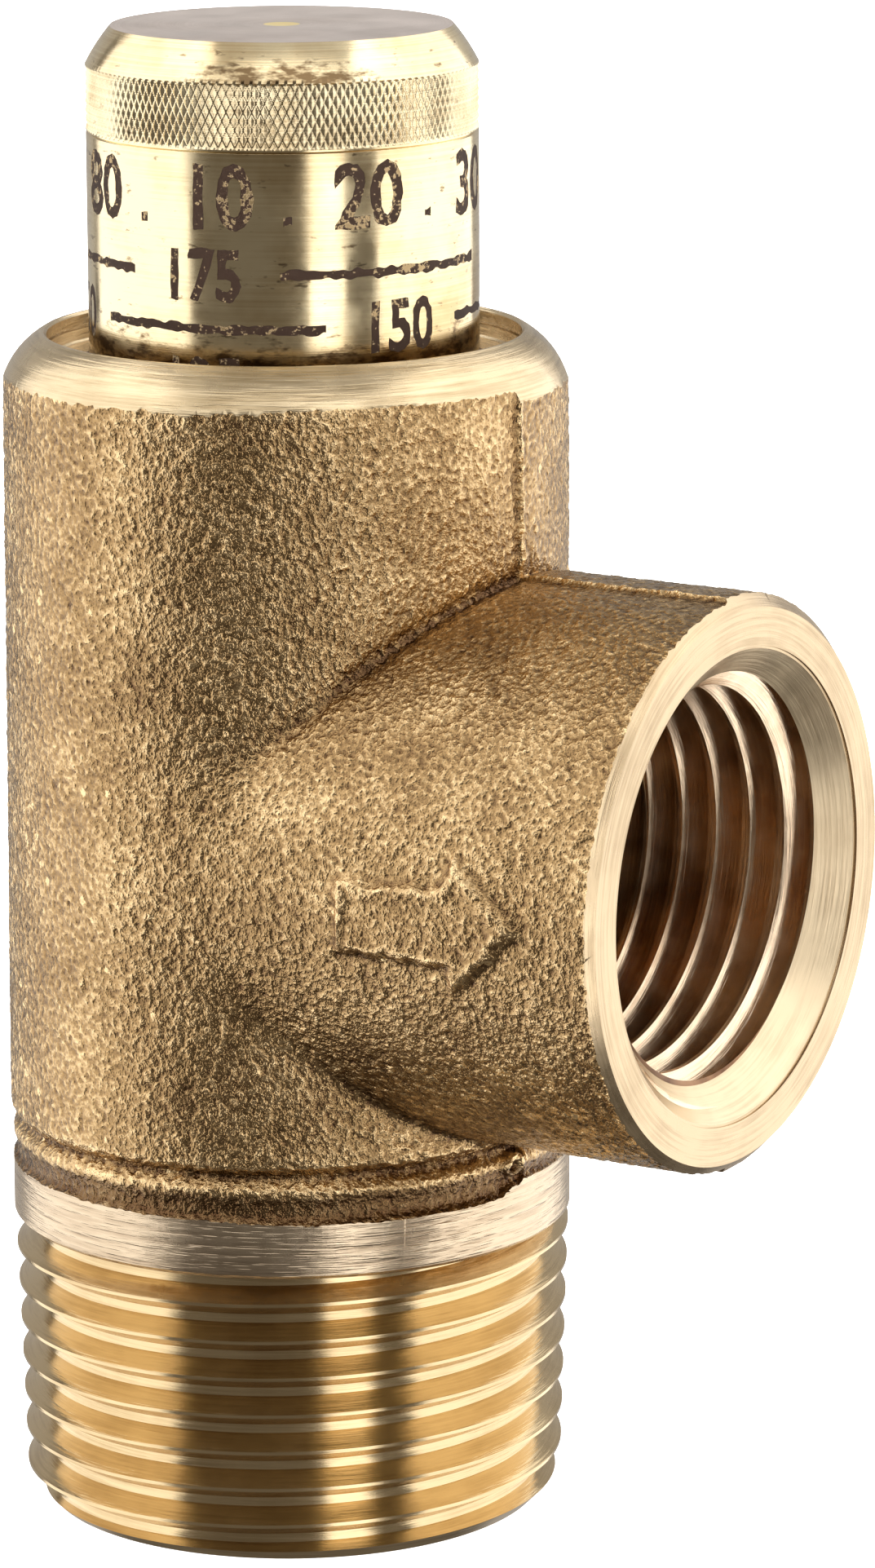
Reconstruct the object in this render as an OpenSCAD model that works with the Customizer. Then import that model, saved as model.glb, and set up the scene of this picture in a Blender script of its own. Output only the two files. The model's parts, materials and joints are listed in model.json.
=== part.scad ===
// Adjustable pressure relief valve: a cast brass tee body with a male taper pipe thread below,
// a female taper pipe thread on the side, and a calibrated screw cap that sets the spring.
// Millimetres. Z is the valve axis, z = 0 is the inlet's end face, and +X points out of the outlet.

/* [Body casting] */
// Barrel radius just above the clamping collar
barrel_r_low = 13.46; // [13.2:0.02:13.8]
// Barrel radius at the foot of the top chamfer, smaller by the casting draft
barrel_r_high = 13.2; // [13.0:0.02:13.4]
// Height of the machined top rim above the inlet face
rim_z = 56.6; // [56:0.1:58]
// Height of the top ring's chamfer
rim_chamfer_h = 2.25; // [1.6:0.05:2.6]
// Radius of the machined collar above the inlet thread
collar_r = 13.39; // [13.2:0.01:13.6]
// Height where the collar starts
collar_z = 14.1; // [14:0.1:14.6]
// Height of the collar
collar_h = 2.8; // [2.4:0.1:3]

/* [Inlet thread, three-quarter inch taper] */
// Thread pitch, fourteen threads to the inch
pipe_pitch = 1.8143; // [1.8143]
// Crest radius at the end face
inlet_r = 12.902; // [12.88:0.002:12.92]
// Thread depth
pipe_thread_depth = 1.2; // [1:0.05:1.3]
// Radius gained for each millimetre of length
pipe_taper = 0.03125; // [0.03125]

/* [Outlet, half inch taper] */
// Height of the outlet axis
outlet_z = 32.7; // [32.4:0.1:33]
// Distance from the valve axis to the outlet face
outlet_x = 24.73; // [24:0.05:25.4]
// Outer radius of the outlet branch
branch_r = 13.41; // [13.2:0.01:13.6]
// Outer radius of the mouth's lead-in
outlet_mouth_r = 11.13; // [10.9:0.02:11.3]
// Crest radius of the female thread at the face
outlet_r = 9.16; // [9.14:0.002:9.18]

/* [Calibrated cap] */
// Radius of the cap
cap_r = 9.17; // [9.1:0.01:9.24]
// Height of the cap's top above the inlet face
cap_top_z = 70.9; // [70.5:0.1:71.5]
// Radius of the flat top
cap_flat_r = 8; // [7.6:0.05:8.3]
// Height between two rows of the pressure scale
scale_step = 2.5; // [2.4:0.05:2.6]
// Height of the highest row of the pressure scale
scale_top_z = 60.4; // [60.2:0.1:60.6]
// Stroke width of the engraved marks
mark_w = 0.28; // [0.2:0.02:0.34]

/* [Spring and disc] */
// Wire diameter of the set spring
wire_d = 1.7; // [1.4:0.05:1.8]
// Mean radius of the set spring's coils
coil_r = 5.8; // [5.7:0.05:5.9]
// Number of coils
coils = 12; // [10:1:13]
// Radius of the seat's orifice
orifice_r = 4.7; // [4.5:0.05:4.8]

/* [Hidden] */

$fn = 72;
eps = 0.01;
brass_cast = [0.66, 0.50, 0.30];
brass_machined = [0.80, 0.69, 0.47];
steel = [0.72, 0.72, 0.70];
rubber = [0.09, 0.09, 0.09];

collar_top_z = collar_z + collar_h;
barrel_top_z = rim_z - rim_chamfer_h;
counterbore_r = 11.17;
ledge_z = rim_z - 1.4;
shank_bore_r = cap_r + 0.33;

// The cap's screw thread: plain pitch cylinders with grooves to each side of them.
cap_thread_top = 45;
cap_thread_bottom = 37.8;
cap_pitch = 1.5;
cap_pitch_r = 8.55;
cap_groove = 0.4;
running_gap = 0.05;
shank_bottom_z = 48.9;
skirt_bottom_z = 35.2;
cap_bore_r = 7;
crown_z = 64.6;
knurl_top_z = 69.15;
knurl_h = 3.05;

// The pressure scale: the digits of each row, top row first, and where its numbers stand.
rows = [[1, 7, 5], [1, 5, 0], [1, 2, 5], [1, 0, 0], [7, 5]];
labels_per_row = 3;
label_angle = -81;
label_gap = 47;
digit_w = 1.05;
digit_h = 2.3;

// Inlet way, seat and chamber.
inlet_bore_r = 8.6;
web_z = 14.5;
web_r = 6.8;
chamber_z = 20.5;
chamber_r = 9.6;
seat_z = 23;
passage_r = 6.5;

o_ring_z = 52.8;
o_ring_wire_r = 0.65;
o_ring_inner_r = cap_r + 0.05;

// The moving pieces' levels when the valve is closed.
seat_disc_h = 2;
holder_flange_top = 26.8;
spring_bottom_z = holder_flange_top + 0.8;
spring_top_z = 61;
ball_r = 2;
ball_z = 63.9;
first_crest = 1.94;
crest_w = 0.26;

// Ring grooves of a taper thread cut from a solid of revolution, seen as a half section. The
// crests between them are short true cylinders, each at its own radius. side is 1 for an outer
// thread and -1 for an inner one; radii run out from r0 by taper for each millimetre of height.
module taper_thread_profile(r0, first, count, taper, side, depth, back_r) {
    half_root = 0.15;
    half_crest = crest_w / 2;
    points = [for (i = [0 : count - 1])
        let (z = first + i * pipe_pitch, r = r0 + taper * z, root = r - side * depth)
        each [[root, z - pipe_pitch / 2 + half_root], [r, z - half_crest],
              [r, z + half_crest], [root, z + pipe_pitch / 2 - half_root]]];
    last_z = first + (count - 0.5) * pipe_pitch;
    polygon(concat([[back_r, first - pipe_pitch / 2 + half_root]], points,
                   [[back_r, last_z - half_root]]));
}

// Outer outline of the barrel, collar and rim, as a half section.
module barrel_profile() {
    chamfer = [for (a = [0 : 15 : 90])
        [counterbore_r + 0.2 + (barrel_r_high - counterbore_r - 0.2) * (cos(a) * 0.35 + (1 - a / 90) * 0.65),
         barrel_top_z + rim_chamfer_h * (sin(a) * 0.35 + (a / 90) * 0.65)]];
    polygon(concat(
        [[0, collar_z - 1], [11.7, collar_z - 1], [collar_r - 1, collar_z], [collar_r - 0.2, collar_z],
         [collar_r, collar_z + 0.2], [collar_r, collar_top_z], [collar_r - 0.02, collar_top_z + 0.9],
         [collar_r - 0.18, collar_top_z + 1.5], [collar_r - 0.42, collar_top_z + 1.95],
         [collar_r - 0.36, collar_top_z + 2.2], [barrel_r_low - 0.08, collar_top_z + 2.6],
         [barrel_r_low, 19.7]],
        chamfer, [[0, rim_z]]));
}

// Everything bored from the top and the bottom along the valve axis, as a half section.
module axial_bore_profile() {
    polygon([[0, -1], [inlet_bore_r, -1], [inlet_bore_r, web_z], [web_r, web_z],
             [web_r, chamber_z], [chamber_r, chamber_z], [chamber_r, cap_thread_bottom],
             [cap_pitch_r + running_gap, cap_thread_bottom], [cap_pitch_r + running_gap, cap_thread_top],
             [shank_bore_r, cap_thread_top], [shank_bore_r, ledge_z], [counterbore_r, ledge_z],
             [counterbore_r, ledge_z + 0.6], [counterbore_r + 0.18, ledge_z + 0.6],
             [counterbore_r + 0.18, ledge_z + 0.8], [counterbore_r, ledge_z + 0.8],
             [counterbore_r, rim_z + 1], [0, rim_z + 1]]);
}

// Grooves each side of the cap thread's pitch cylinder. out is 1 in the body and -1 in the cap.
module cap_thread_grooves(first, count, out) {
    base = cap_pitch_r + (out > 0 ? running_gap : 0);
    for (i = [0 : count - 1])
        translate([0, first + i * cap_pitch])
            polygon([[base - out * eps, -0.5], [base + out * cap_groove, -0.1],
                     [base + out * cap_groove, 0.1], [base - out * eps, 0.5]]);
}

// The outlet's mouth, lead-in cone, thread and passage, cut along +X.
module outlet_cut() {
    crest = 1.9;
    count = 7;
    depth_end = crest + (count - 0.5) * pipe_pitch;
    translate([outlet_x, 0, outlet_z]) rotate([0, -90, 0]) rotate_extrude()
        difference() {
            polygon([[0, -1], [outlet_mouth_r, -1], [outlet_mouth_r, 0], [10.1, 0.25], [9.3, 1.15],
                     [outlet_r + pipe_thread_depth, 1.2], [outlet_r + pipe_thread_depth - 0.35, depth_end],
                     [passage_r + 0.6, depth_end], [passage_r, depth_end + 0.6], [passage_r, outlet_x],
                     [0, outlet_x]]);
            taper_thread_profile(outlet_r, crest, count, -pipe_taper, -1, pipe_thread_depth, 12);
        }
}

// Raised flow arrow, cast on the branch's near side and pointing to the outlet.
module flow_arrow() {
    intersection() {
        translate([0, 0, outlet_z]) rotate([0, 90, 0]) cylinder(r = branch_r + 0.3, h = outlet_x);
        translate([0, -10, outlet_z]) rotate([90, 0, 0]) linear_extrude(height = 6)
            polygon([[11.2, -1.5], [17.4, -1.6], [17.6, -2.9], [20.5, 0.1], [17.6, 3.1], [17, 1.5],
                     [11.2, 1.5]]);
    }
}

module valve_body() {
    color(brass_cast) difference() {
        union() {
            rotate_extrude() barrel_profile();
            translate([0, 0, outlet_z]) rotate([0, 90, 0]) rotate_extrude()
                polygon([[0, 0], [branch_r, 0], [branch_r, outlet_x - 0.46], [branch_r - 0.46, outlet_x],
                         [0, outlet_x]]);
            flow_arrow();
            rotate_extrude() {
                polygon([[0, 0], [inlet_r - 1, 0], [inlet_r - 0.3, 0.75], [11.45, 1.1], [11.7, collar_z],
                         [0, collar_z]]);
                taper_thread_profile(inlet_r, first_crest, 7, pipe_taper, 1, pipe_thread_depth, 5);
            }
        }
        rotate_extrude() union() {
            axial_bore_profile();
            cap_thread_grooves(cap_thread_bottom + 0.8, 5, 1);
            translate([o_ring_inner_r + o_ring_wire_r, o_ring_z]) square([3, 1.6], center = true);
        }
        outlet_cut();
    }
}

// Pressed-in nozzle that carries the seat lip.
module seat_nozzle() {
    color(steel) rotate_extrude()
        polygon([[orifice_r + 1.2, web_z], [web_r - 0.01, web_z], [web_r - 0.01, chamber_z],
                 [6.3, chamber_z + 0.4], [6.3, chamber_z + 1.2], [orifice_r + 0.5, seat_z],
                 [orifice_r, seat_z], [orifice_r, web_z + 1.2]]);
}

module cap_outline() {
    polygon([[cap_bore_r, skirt_bottom_z], [cap_pitch_r - 0.4, skirt_bottom_z],
             [cap_pitch_r, skirt_bottom_z + 0.4], [cap_pitch_r, shank_bottom_z - 0.9],
             [cap_pitch_r - 0.4, shank_bottom_z - 0.8], [cap_pitch_r - 0.4, shank_bottom_z],
             [cap_r - 0.15, shank_bottom_z], [cap_r, shank_bottom_z + 0.15],
             [cap_r, knurl_top_z - knurl_h - 0.05], [cap_r - 0.08, knurl_top_z - knurl_h + 0.05],
             [cap_r, knurl_top_z - knurl_h + 0.15], [cap_r, knurl_top_z],
             [cap_r - 0.55, cap_top_z - 0.85], [cap_flat_r, cap_top_z],
             [0.5, cap_top_z], [0, cap_top_z - 0.5], [0, crown_z + 1.3], [ball_r + 0.2, crown_z + 1.3],
             [ball_r + 0.5, crown_z], [cap_bore_r - 0.5, crown_z], [cap_bore_r, crown_z - 0.5]]);
}

// One digit of the scale, drawn in strokes on a cell digit_w wide and digit_h tall.
module digit(d) {
    w = digit_w;
    h = digit_h;
    s = mark_w;
    m = h * 0.48;
    if (d == 0) difference() {
        square([w, h]);
        translate([s, s]) square([w - 2 * s, h - 2 * s]);
    }
    if (d == 1) translate([(w - s) / 2, 0]) square([s, h]);
    if (d == 2) polygon([[0, h], [w, h], [w, m], [s, m - s], [s, s], [w, s], [w, 0], [0, 0], [0, m - s / 2],
                         [w - s, m + s / 2], [w - s, h - s], [0, h - s]]);
    if (d == 5) polygon([[w, h], [0, h], [0, m], [w - s, m], [w - s, s], [0, s], [0, 0], [w, 0], [w, m + s],
                         [s, m + s], [s, h - s], [w, h - s]]);
    if (d == 7) polygon([[0, h], [w, h], [w, h - s], [s + 0.2, 0], [0.15, 0], [w - s - 0.05, h - s],
                         [0, h - s]]);
}

// Wedge of the cap's wall behind one flat drawing, turned to face the angle given.
module on_cap(angle, z) {
    rotate([0, 0, angle]) translate([6, 0, z]) rotate([90, 0, 90]) linear_extrude(height = 5) children();
}

// A row's number, with its digits side by side around the cap.
module label(digits, angle, z) {
    for (i = [0 : len(digits) - 1])
        on_cap(angle + (i - (len(digits) - 1) / 2) * (digit_w + 0.35) * 180 / (PI * cap_r), z)
            translate([-digit_w / 2, -digit_h / 2]) digit(digits[i]);
}

// Ring lines broken by the numbers, with alternate rows turned half a step.
module scale_marks() {
    intersection() {
        difference() {
            translate([0, 0, skirt_bottom_z]) cylinder(r = cap_r, h = 30);
            cylinder(r = cap_r - 0.12, h = cap_top_z);
        }
        for (row = [0 : len(rows) - 1]) {
            z = scale_top_z - row * scale_step;
            turn = label_angle + (row % 2) * 180 / labels_per_row;
            for (k = [0 : labels_per_row - 1]) {
                at = turn + k * 360 / labels_per_row;
                label(rows[row], at, z);
                rotate([0, 0, at + label_gap / 2])
                    rotate_extrude(angle = 360 / labels_per_row - label_gap)
                        translate([cap_r - 1, z - mark_w / 2]) square([2, mark_w]);
            }
        }
    }
}

module calibrated_cap() {
    color(brass_machined) difference() {
        rotate_extrude() difference() {
            cap_outline();
            cap_thread_grooves(skirt_bottom_z + 1.2, 8, -1);
        }
        scale_marks();
    }
}

module scale_paint() {
    color(rubber) scale_marks();
}

module cap_o_ring() {
    color(rubber) translate([0, 0, o_ring_z]) rotate_extrude()
        translate([o_ring_inner_r + o_ring_wire_r, 0]) circle(r = o_ring_wire_r);
}

module thrust_ball() {
    color(steel) translate([0, 0, ball_z]) sphere(r = ball_r);
}

// Turned button that centres the spring's top and takes the ball's thrust.
module upper_spring_button() {
    pocket_z = ball_z - ball_r;
    color(brass_machined) rotate_extrude()
        polygon([[0, 57.5], [3.8, 57.5], [4.6, 58.3], [4.6, spring_top_z], [6.6, spring_top_z],
                 [6.6, spring_top_z + 1], [5.6, spring_top_z + 2], [ball_r + 0.05, spring_top_z + 2],
                 [ball_r + 0.05, pocket_z], [0, pocket_z]]);
}

// Height of the wire's centre after t coils: the end coils lie close, the others share what is left.
function wire_z(t) =
    let (closed = wire_d + 0.08, active = (spring_top_z - spring_bottom_z - wire_d - 2 * closed) / (coils - 2))
    spring_bottom_z + wire_d / 2 + closed * min(t, 1) + active * min(max(t - 1, 0), coils - 2)
    + closed * max(t - coils + 1, 0);

// Round wire swept along a helix, a ring of points at each step.
module set_spring() {
    sides = 8;
    steps = 18;
    rings = coils * steps;
    wire_r = wire_d / 2 - 0.01;
    points = [for (i = [0 : rings]) let (turn = 360 * i / steps, z = wire_z(i / steps))
        for (k = [0 : sides - 1]) let (a = 360 * k / sides, r = coil_r + wire_r * cos(a))
            [r * cos(turn), r * sin(turn), z + wire_r * sin(a)]];
    walls = [for (i = [0 : rings - 1]) for (k = [0 : sides - 1])
        let (a = i * sides + k, b = i * sides + (k + 1) % sides)
        each [[a, b, b + sides], [a, b + sides, a + sides]]];
    first_end = [for (k = [0 : sides - 1]) sides - 1 - k];
    last_end = [for (k = [0 : sides - 1]) rings * sides + k];
    color(steel) polyhedron(points, concat(walls, [first_end, last_end]));
}

module lower_spring_washer() {
    color(steel) translate([0, 0, holder_flange_top]) difference() {
        cylinder(r = 7, h = spring_bottom_z - holder_flange_top);
        translate([0, 0, -1]) cylinder(r = 4.45, h = 3);
    }
}

// Guided by its rim in the chamber; four flats on the rim let the flow pass.
module disc_holder() {
    guide_r = chamber_r - 0.07;
    color(brass_machined) difference() {
        union() {
            translate([0, 0, seat_z + 0.4]) cylinder(r = guide_r, h = holder_flange_top - seat_z - 0.4);
            translate([0, 0, holder_flange_top]) cylinder(r = 4.4, h = 5.2);
        }
        translate([0, 0, seat_z]) cylinder(r = 6.6, h = seat_disc_h);
        translate([0, 0, seat_z]) cylinder(r = 1.25, h = 7);
        for (a = [45 : 90 : 315])
            rotate([0, 0, a]) translate([guide_r + 3.1, 0, 26]) cube([8, 20, 9], center = true);
    }
}

module seat_disc() {
    color(rubber) translate([0, 0, seat_z]) difference() {
        cylinder(r = 6.55, h = seat_disc_h);
        translate([0, 0, -1]) cylinder(r = 1.4, h = 4);
    }
}

module disc_washer() {
    color(steel) translate([0, 0, seat_z - 0.8]) difference() {
        cylinder(r = 3.4, h = 0.8);
        translate([0, 0, -1]) cylinder(r = 1.4, h = 4);
    }
}

module disc_screw() {
    head_z = seat_z - 0.8;
    color(steel) difference() {
        union() {
            translate([0, 0, head_z - 1.6]) cylinder(r = 2.5, h = 1.6);
            translate([0, 0, head_z - eps]) cylinder(r = 1.2, h = 7);
        }
        translate([0, 0, head_z - 1.6]) cube([6, 0.7, 1.4], center = true);
    }
}

valve_body();
seat_nozzle();
calibrated_cap();
scale_paint();
cap_o_ring();
thrust_ball();
upper_spring_button();
set_spring();
lower_spring_washer();
disc_holder();
seat_disc();
disc_washer();
disc_screw();
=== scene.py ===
import json
import math

import bmesh
import bpy
import numpy as np
from mathutils import Matrix, Vector

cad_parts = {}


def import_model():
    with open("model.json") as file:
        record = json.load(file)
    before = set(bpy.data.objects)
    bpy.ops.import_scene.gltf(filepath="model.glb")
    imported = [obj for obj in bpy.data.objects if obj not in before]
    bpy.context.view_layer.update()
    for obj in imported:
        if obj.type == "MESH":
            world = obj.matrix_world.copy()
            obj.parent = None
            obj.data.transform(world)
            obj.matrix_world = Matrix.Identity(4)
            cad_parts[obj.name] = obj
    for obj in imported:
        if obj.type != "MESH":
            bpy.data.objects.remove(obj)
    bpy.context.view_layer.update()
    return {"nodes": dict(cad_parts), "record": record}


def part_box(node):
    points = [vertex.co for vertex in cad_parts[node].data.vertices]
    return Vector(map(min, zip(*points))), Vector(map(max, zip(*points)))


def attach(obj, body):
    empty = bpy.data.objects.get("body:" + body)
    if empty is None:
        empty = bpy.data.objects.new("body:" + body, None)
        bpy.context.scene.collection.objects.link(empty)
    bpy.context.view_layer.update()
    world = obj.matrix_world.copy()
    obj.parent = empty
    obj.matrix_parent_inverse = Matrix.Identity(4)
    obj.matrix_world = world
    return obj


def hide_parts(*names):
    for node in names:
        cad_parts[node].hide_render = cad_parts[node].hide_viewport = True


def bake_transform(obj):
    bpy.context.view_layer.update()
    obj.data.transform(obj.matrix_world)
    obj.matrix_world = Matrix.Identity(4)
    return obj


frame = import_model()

MM = 0.001

# ---------------------------------------------------------------- sizes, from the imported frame


def box_mm(node):
    """A node's lowest and highest corners at rest, in millimetres."""
    low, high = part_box(node)
    return Vector(low) / MM, Vector(high) / MM


def mount(name):
    """A mount of the record, by name."""
    return next(m for m in frame["record"]["mounts"] if m["name"] == name)


BODY_LOW, BODY_HIGH = box_mm("valve_body")
CAP_LOW, CAP_HIGH = box_mm("calibrated_cap")
RIM_Z = BODY_HIGH.z
OUTLET_X = BODY_HIGH.x
OUTLET_Z = mount("outlet_thread")["pos_m"][2] / MM
BRANCH_R = -BODY_LOW.y - 0.3
CAP_R = CAP_HIGH.x
CAP_TOP = CAP_HIGH.z

# Read off the photograph, in millimetres. RAISED is how far the collar's near stretch stands
# above the rest of it, and GROOVE_Z is the casting's groove above the collar.
BARREL_LOW_R = 13.46
BARREL_TOP_R = 13.2
COLLAR_Z = 14.1
COLLAR_TOP = 16.9
COLLAR_R = 13.39
RAISED = 0.4
GROOVE_Z = 18.9
CHAMFER_Z = RIM_Z - 2.25
COUNTERBORE_R = 11.17
LEDGE_Z = RIM_Z - 1.4
MOUTH_R = 11.13
CONE_R = 9.4
CONE_DEPTH = 1.6
FACING_SLOPE_R = BRANCH_R - 0.47
SCALE_STEP = 2.5
SCALE_TOP = CAP_TOP - 10.5

# Taper pipe threads, 14 to the inch. PIPE_TAPER is on the radius, HALF_CREST is a part of the
# pitch, and CREST_Z is the height of a crest CREST_TURN of a turn round from +X to the near side.
PIPE_PITCH = 25.4 / 14
PIPE_TAPER = 1 / 32
INLET_R = 12.902
OUTLET_R = 9.16
HALF_CREST = 0.045
THREAD_DEPTH = 1.06
OUTLET_DEPTH = 1.22
CREST_Z = 12.83
CREST_TURN = 56.5 / 360

# The camera stands this many degrees round from the near side, towards the outlet.
CAMERA_SIDE = 33.53
# PHOTO_SIDE points to the camera's side; the cap's darker bands are painted only on the part that faces
# it.
PHOTO_SIDE = (math.sin(math.radians(CAMERA_SIDE)), -math.cos(math.radians(CAMERA_SIDE)), 0)

# The body's material slots
CAST, FACED, CONE, COLLAR, RIM, THREAD, OUTLET_THREAD, INSIDE = range(8)

# ---------------------------------------------------------------- noise and fields


def hashed(ix, iy, iz, seed):
    """A repeatable value from 0 to 1 for each lattice point."""
    h = (ix * 73856093) ^ (iy * 19349663) ^ (iz * 83492791) ^ (seed * 2654435761)
    h = (h ^ (h >> 13)) * 1274126177
    return ((h ^ (h >> 16)) & 0xFFFF) / 65535.0


def noise(p, size, seed=0):
    """Smooth value noise from -1 to 1 at points p, with lumps about size across."""
    q = p / size
    base = np.floor(q).astype(np.int64)
    t = q - base
    t = t * t * (3 - 2 * t)
    total = np.zeros(len(p))
    for corner in range(8):
        bit = [(corner >> a) & 1 for a in range(3)]
        weight = np.ones(len(p))
        for a in range(3):
            weight = weight * (t[:, a] if bit[a] else 1 - t[:, a])
        total += weight * hashed(base[:, 0] + bit[0], base[:, 1] + bit[1], base[:, 2] + bit[2], seed)
    return total * 2 - 1


def smooth_step(x, low, high):
    """0 at low, 1 at high, smooth between; low may be the greater."""
    t = np.clip((x - low) / (high - low), 0, 1)
    return t * t * (3 - 2 * t)


def smooth_min(a, b, width):
    """The lower of two fields, with the crease between them filled over width."""
    h = np.clip(0.5 + 0.5 * (b - a) / width, 0, 1)
    return b * (1 - h) + a * h - width * h * (1 - h)


def polygon_distance(u, v, corners):
    """Distance to a closed outline in a plane, negative inside."""
    best = np.full(u.shape, 1e9)
    inside = np.zeros(u.shape, bool)
    for (ax, ay), (bx, by) in zip(corners, corners[1:] + corners[:1]):
        ex, ey = bx - ax, by - ay
        t = np.clip(((u - ax) * ex + (v - ay) * ey) / (ex * ex + ey * ey), 0, 1)
        best = np.minimum(best, np.hypot(u - ax - t * ex, v - ay - t * ey))
        crosses = (ay > v) != (by > v)
        with np.errstate(divide="ignore", invalid="ignore"):
            inside ^= crosses & (u < ax + (v - ay) * ex / ey)
    return np.where(inside, -best, best)


# ---------------------------------------------------------------- mesh building


def add_object(name, data):
    """A new object in the scene for some data."""
    obj = bpy.data.objects.new(name, data)
    bpy.context.scene.collection.objects.link(obj)
    return obj


def evaluated_mesh(obj):
    """A new mesh of what an object looks like with its modifiers, or of a text's outlines."""
    bpy.context.view_layer.update()
    return bpy.data.meshes.new_from_object(obj.evaluated_get(bpy.context.evaluated_depsgraph_get()))


def discard(obj):
    """Removes an object and its mesh."""
    mesh = obj.data
    bpy.data.objects.remove(obj)
    bpy.data.meshes.remove(mesh)


def mesh_object(name, verts, faces, materials=(), index=0):
    """An object from points in millimetres. index is one slot or one for each face."""
    mesh = bpy.data.meshes.new(name)
    mesh.from_pydata([tuple(v) for v in np.asarray(verts) * MM], [], faces)
    for m in materials:
        mesh.materials.append(m)
    slots = np.broadcast_to(index, len(mesh.polygons)).astype(np.int32)
    mesh.polygons.foreach_set("material_index", slots)
    return add_object(name, mesh)


def grid_faces(rows, cols):
    """Quads of a tube of rows by cols points, closed round each row."""
    r, c = np.meshgrid(np.arange(rows - 1), np.arange(cols), indexing="ij")
    a = (r * cols + c).ravel()
    b = (r * cols + (c + 1) % cols).ravel()
    return np.stack([a, b, b + cols, a + cols], 1)


def lathe(name, outline, cols, materials=(), slots=None, radial=None):
    """A closed solid turned about Z. outline runs from the axis up and back to the axis, as
    (radius, height); slots gives a material slot for each step of it; radial(angle, r, z)
    may change the radius."""
    outline = np.array(outline, float)
    inner = outline[1:-1]
    angle = np.arange(cols) * 2 * math.pi / cols
    a = np.tile(angle, len(inner))
    r = np.repeat(inner[:, 0], cols)
    z = np.repeat(inner[:, 1], cols)
    if radial:
        r = radial(a, r, z)
    ring = np.stack([r * np.cos(a), r * np.sin(a), z], 1)
    verts = np.vstack([ring, [[0, 0, outline[0, 1]], [0, 0, outline[-1, 1]]]])
    faces = grid_faces(len(inner), cols).tolist()
    low, high = len(ring), len(ring) + 1
    last = (len(inner) - 1) * cols
    faces += [[low, (i + 1) % cols, i] for i in range(cols)]
    faces += [[high, last + i, last + (i + 1) % cols] for i in range(cols)]
    index = 0
    if slots is not None:
        index = np.concatenate([np.repeat(slots[1:-1], cols), np.full(cols, slots[0]),
                                np.full(cols, slots[-1])])
    return mesh_object(name, verts, faces, materials, index)


def helix_faces(rows, cols, per_turn):
    """Faces of a screw's strip, with each turn joined to the next, and of the two fans at its ends.
    The fans' middles are the two points that follow the strip's."""
    low, high = rows * cols, rows * cols + 1
    faces = []
    for row in range(rows - 1):
        for c in range(cols - 1):
            a = row * cols + c
            faces.append([a, a + 1, a + 1 + cols, a + cols])
    for row in range(rows - 1 - per_turn):
        a, b = row * cols + cols - 1, (row + per_turn) * cols
        faces.append([a, b, b + cols, a + cols])
    for c in range(cols - 1):
        faces.append([low, c + 1, c])
        top = (rows - 1) * cols + c
        faces.append([high, top, top + 1])
    faces.append([low, per_turn * cols, cols - 1])
    for row in range(per_turn):
        faces.append([low, row * cols, (row + 1) * cols])
        a = (rows - 1 - per_turn + row) * cols + cols - 1
        faces.append([high, a + cols, a])
    faces.append([high, (rows - 1 - per_turn) * cols + cols - 1, (rows - 1) * cols])
    return faces


def helix(name, section, pitch, turns, start, radius, cols, materials=(), slot=0):
    """A right-hand screw about Z, closed at both ends by fans to be cut away. section gives the
    fractions of a pitch and the depths below the crest there; radius(z) is the crest's."""
    phases, depths = map(np.array, section)
    per_turn = len(phases)
    rows = per_turn * turns + 1
    j = np.arange(rows)
    rise = (j // per_turn + phases[j % per_turn]) * pitch
    angle = np.arange(cols) * 2 * math.pi / cols
    z = start + rise[:, None] + pitch * angle[None, :] / (2 * math.pi)
    r = radius(z) - depths[j % per_turn][:, None]
    ring = np.stack([r * np.cos(angle), r * np.sin(angle), z], 2).reshape(-1, 3)
    verts = np.vstack([ring, [[0, 0, z[0].mean() - pitch / 2], [0, 0, z[-1].mean() + pitch / 2]]])
    return mesh_object(name, verts, helix_faces(rows, cols, per_turn), materials, slot)


def net_points(field, cells):
    """For each cell, the middle of the places where the field crosses zero on its edges."""
    total = np.zeros((len(cells), 3))
    hits = np.zeros(len(cells))
    for axis in range(3):
        others = [a for a in range(3) if a != axis]
        for k in range(4):
            offset = np.zeros(3, int)
            offset[others[0]], offset[others[1]] = k & 1, k >> 1
            a = cells + offset
            b = a.copy()
            b[:, axis] += 1
            fa, fb = field[tuple(a.T)], field[tuple(b.T)]
            cross = (fa < 0) != (fb < 0)
            t = np.where(cross, fa / np.where(cross, fa - fb, 1), 0)
            point = a.astype(float)
            point[:, axis] += t
            total[cross] += point[cross]
            hits += cross
    return total / hits[:, None]


def net_quads(inside, number):
    """A quad, facing out, across each grid edge that leaves the solid. number gives the point in
    each cell."""
    faces = []
    for axis in range(3):
        u, v = [(1, 2), (2, 0), (0, 1)][axis]
        a = [slice(1, -1)] * 3
        b = [slice(1, -1)] * 3
        b[axis] = slice(2, None)
        change = np.argwhere(inside[tuple(a)] != inside[tuple(b)]) + 1
        starts_in = inside[tuple(change.T)]
        quad = []
        for du, dv in ((-1, -1), (0, -1), (0, 0), (-1, 0)):
            cell = change.copy()
            cell[:, u] += du
            cell[:, v] += dv
            quad.append(number[tuple(cell.T)])
        quad = np.stack(quad, 1)
        faces.append(np.where(starts_in[:, None], quad, quad[:, ::-1]))
    return np.vstack(faces)


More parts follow.
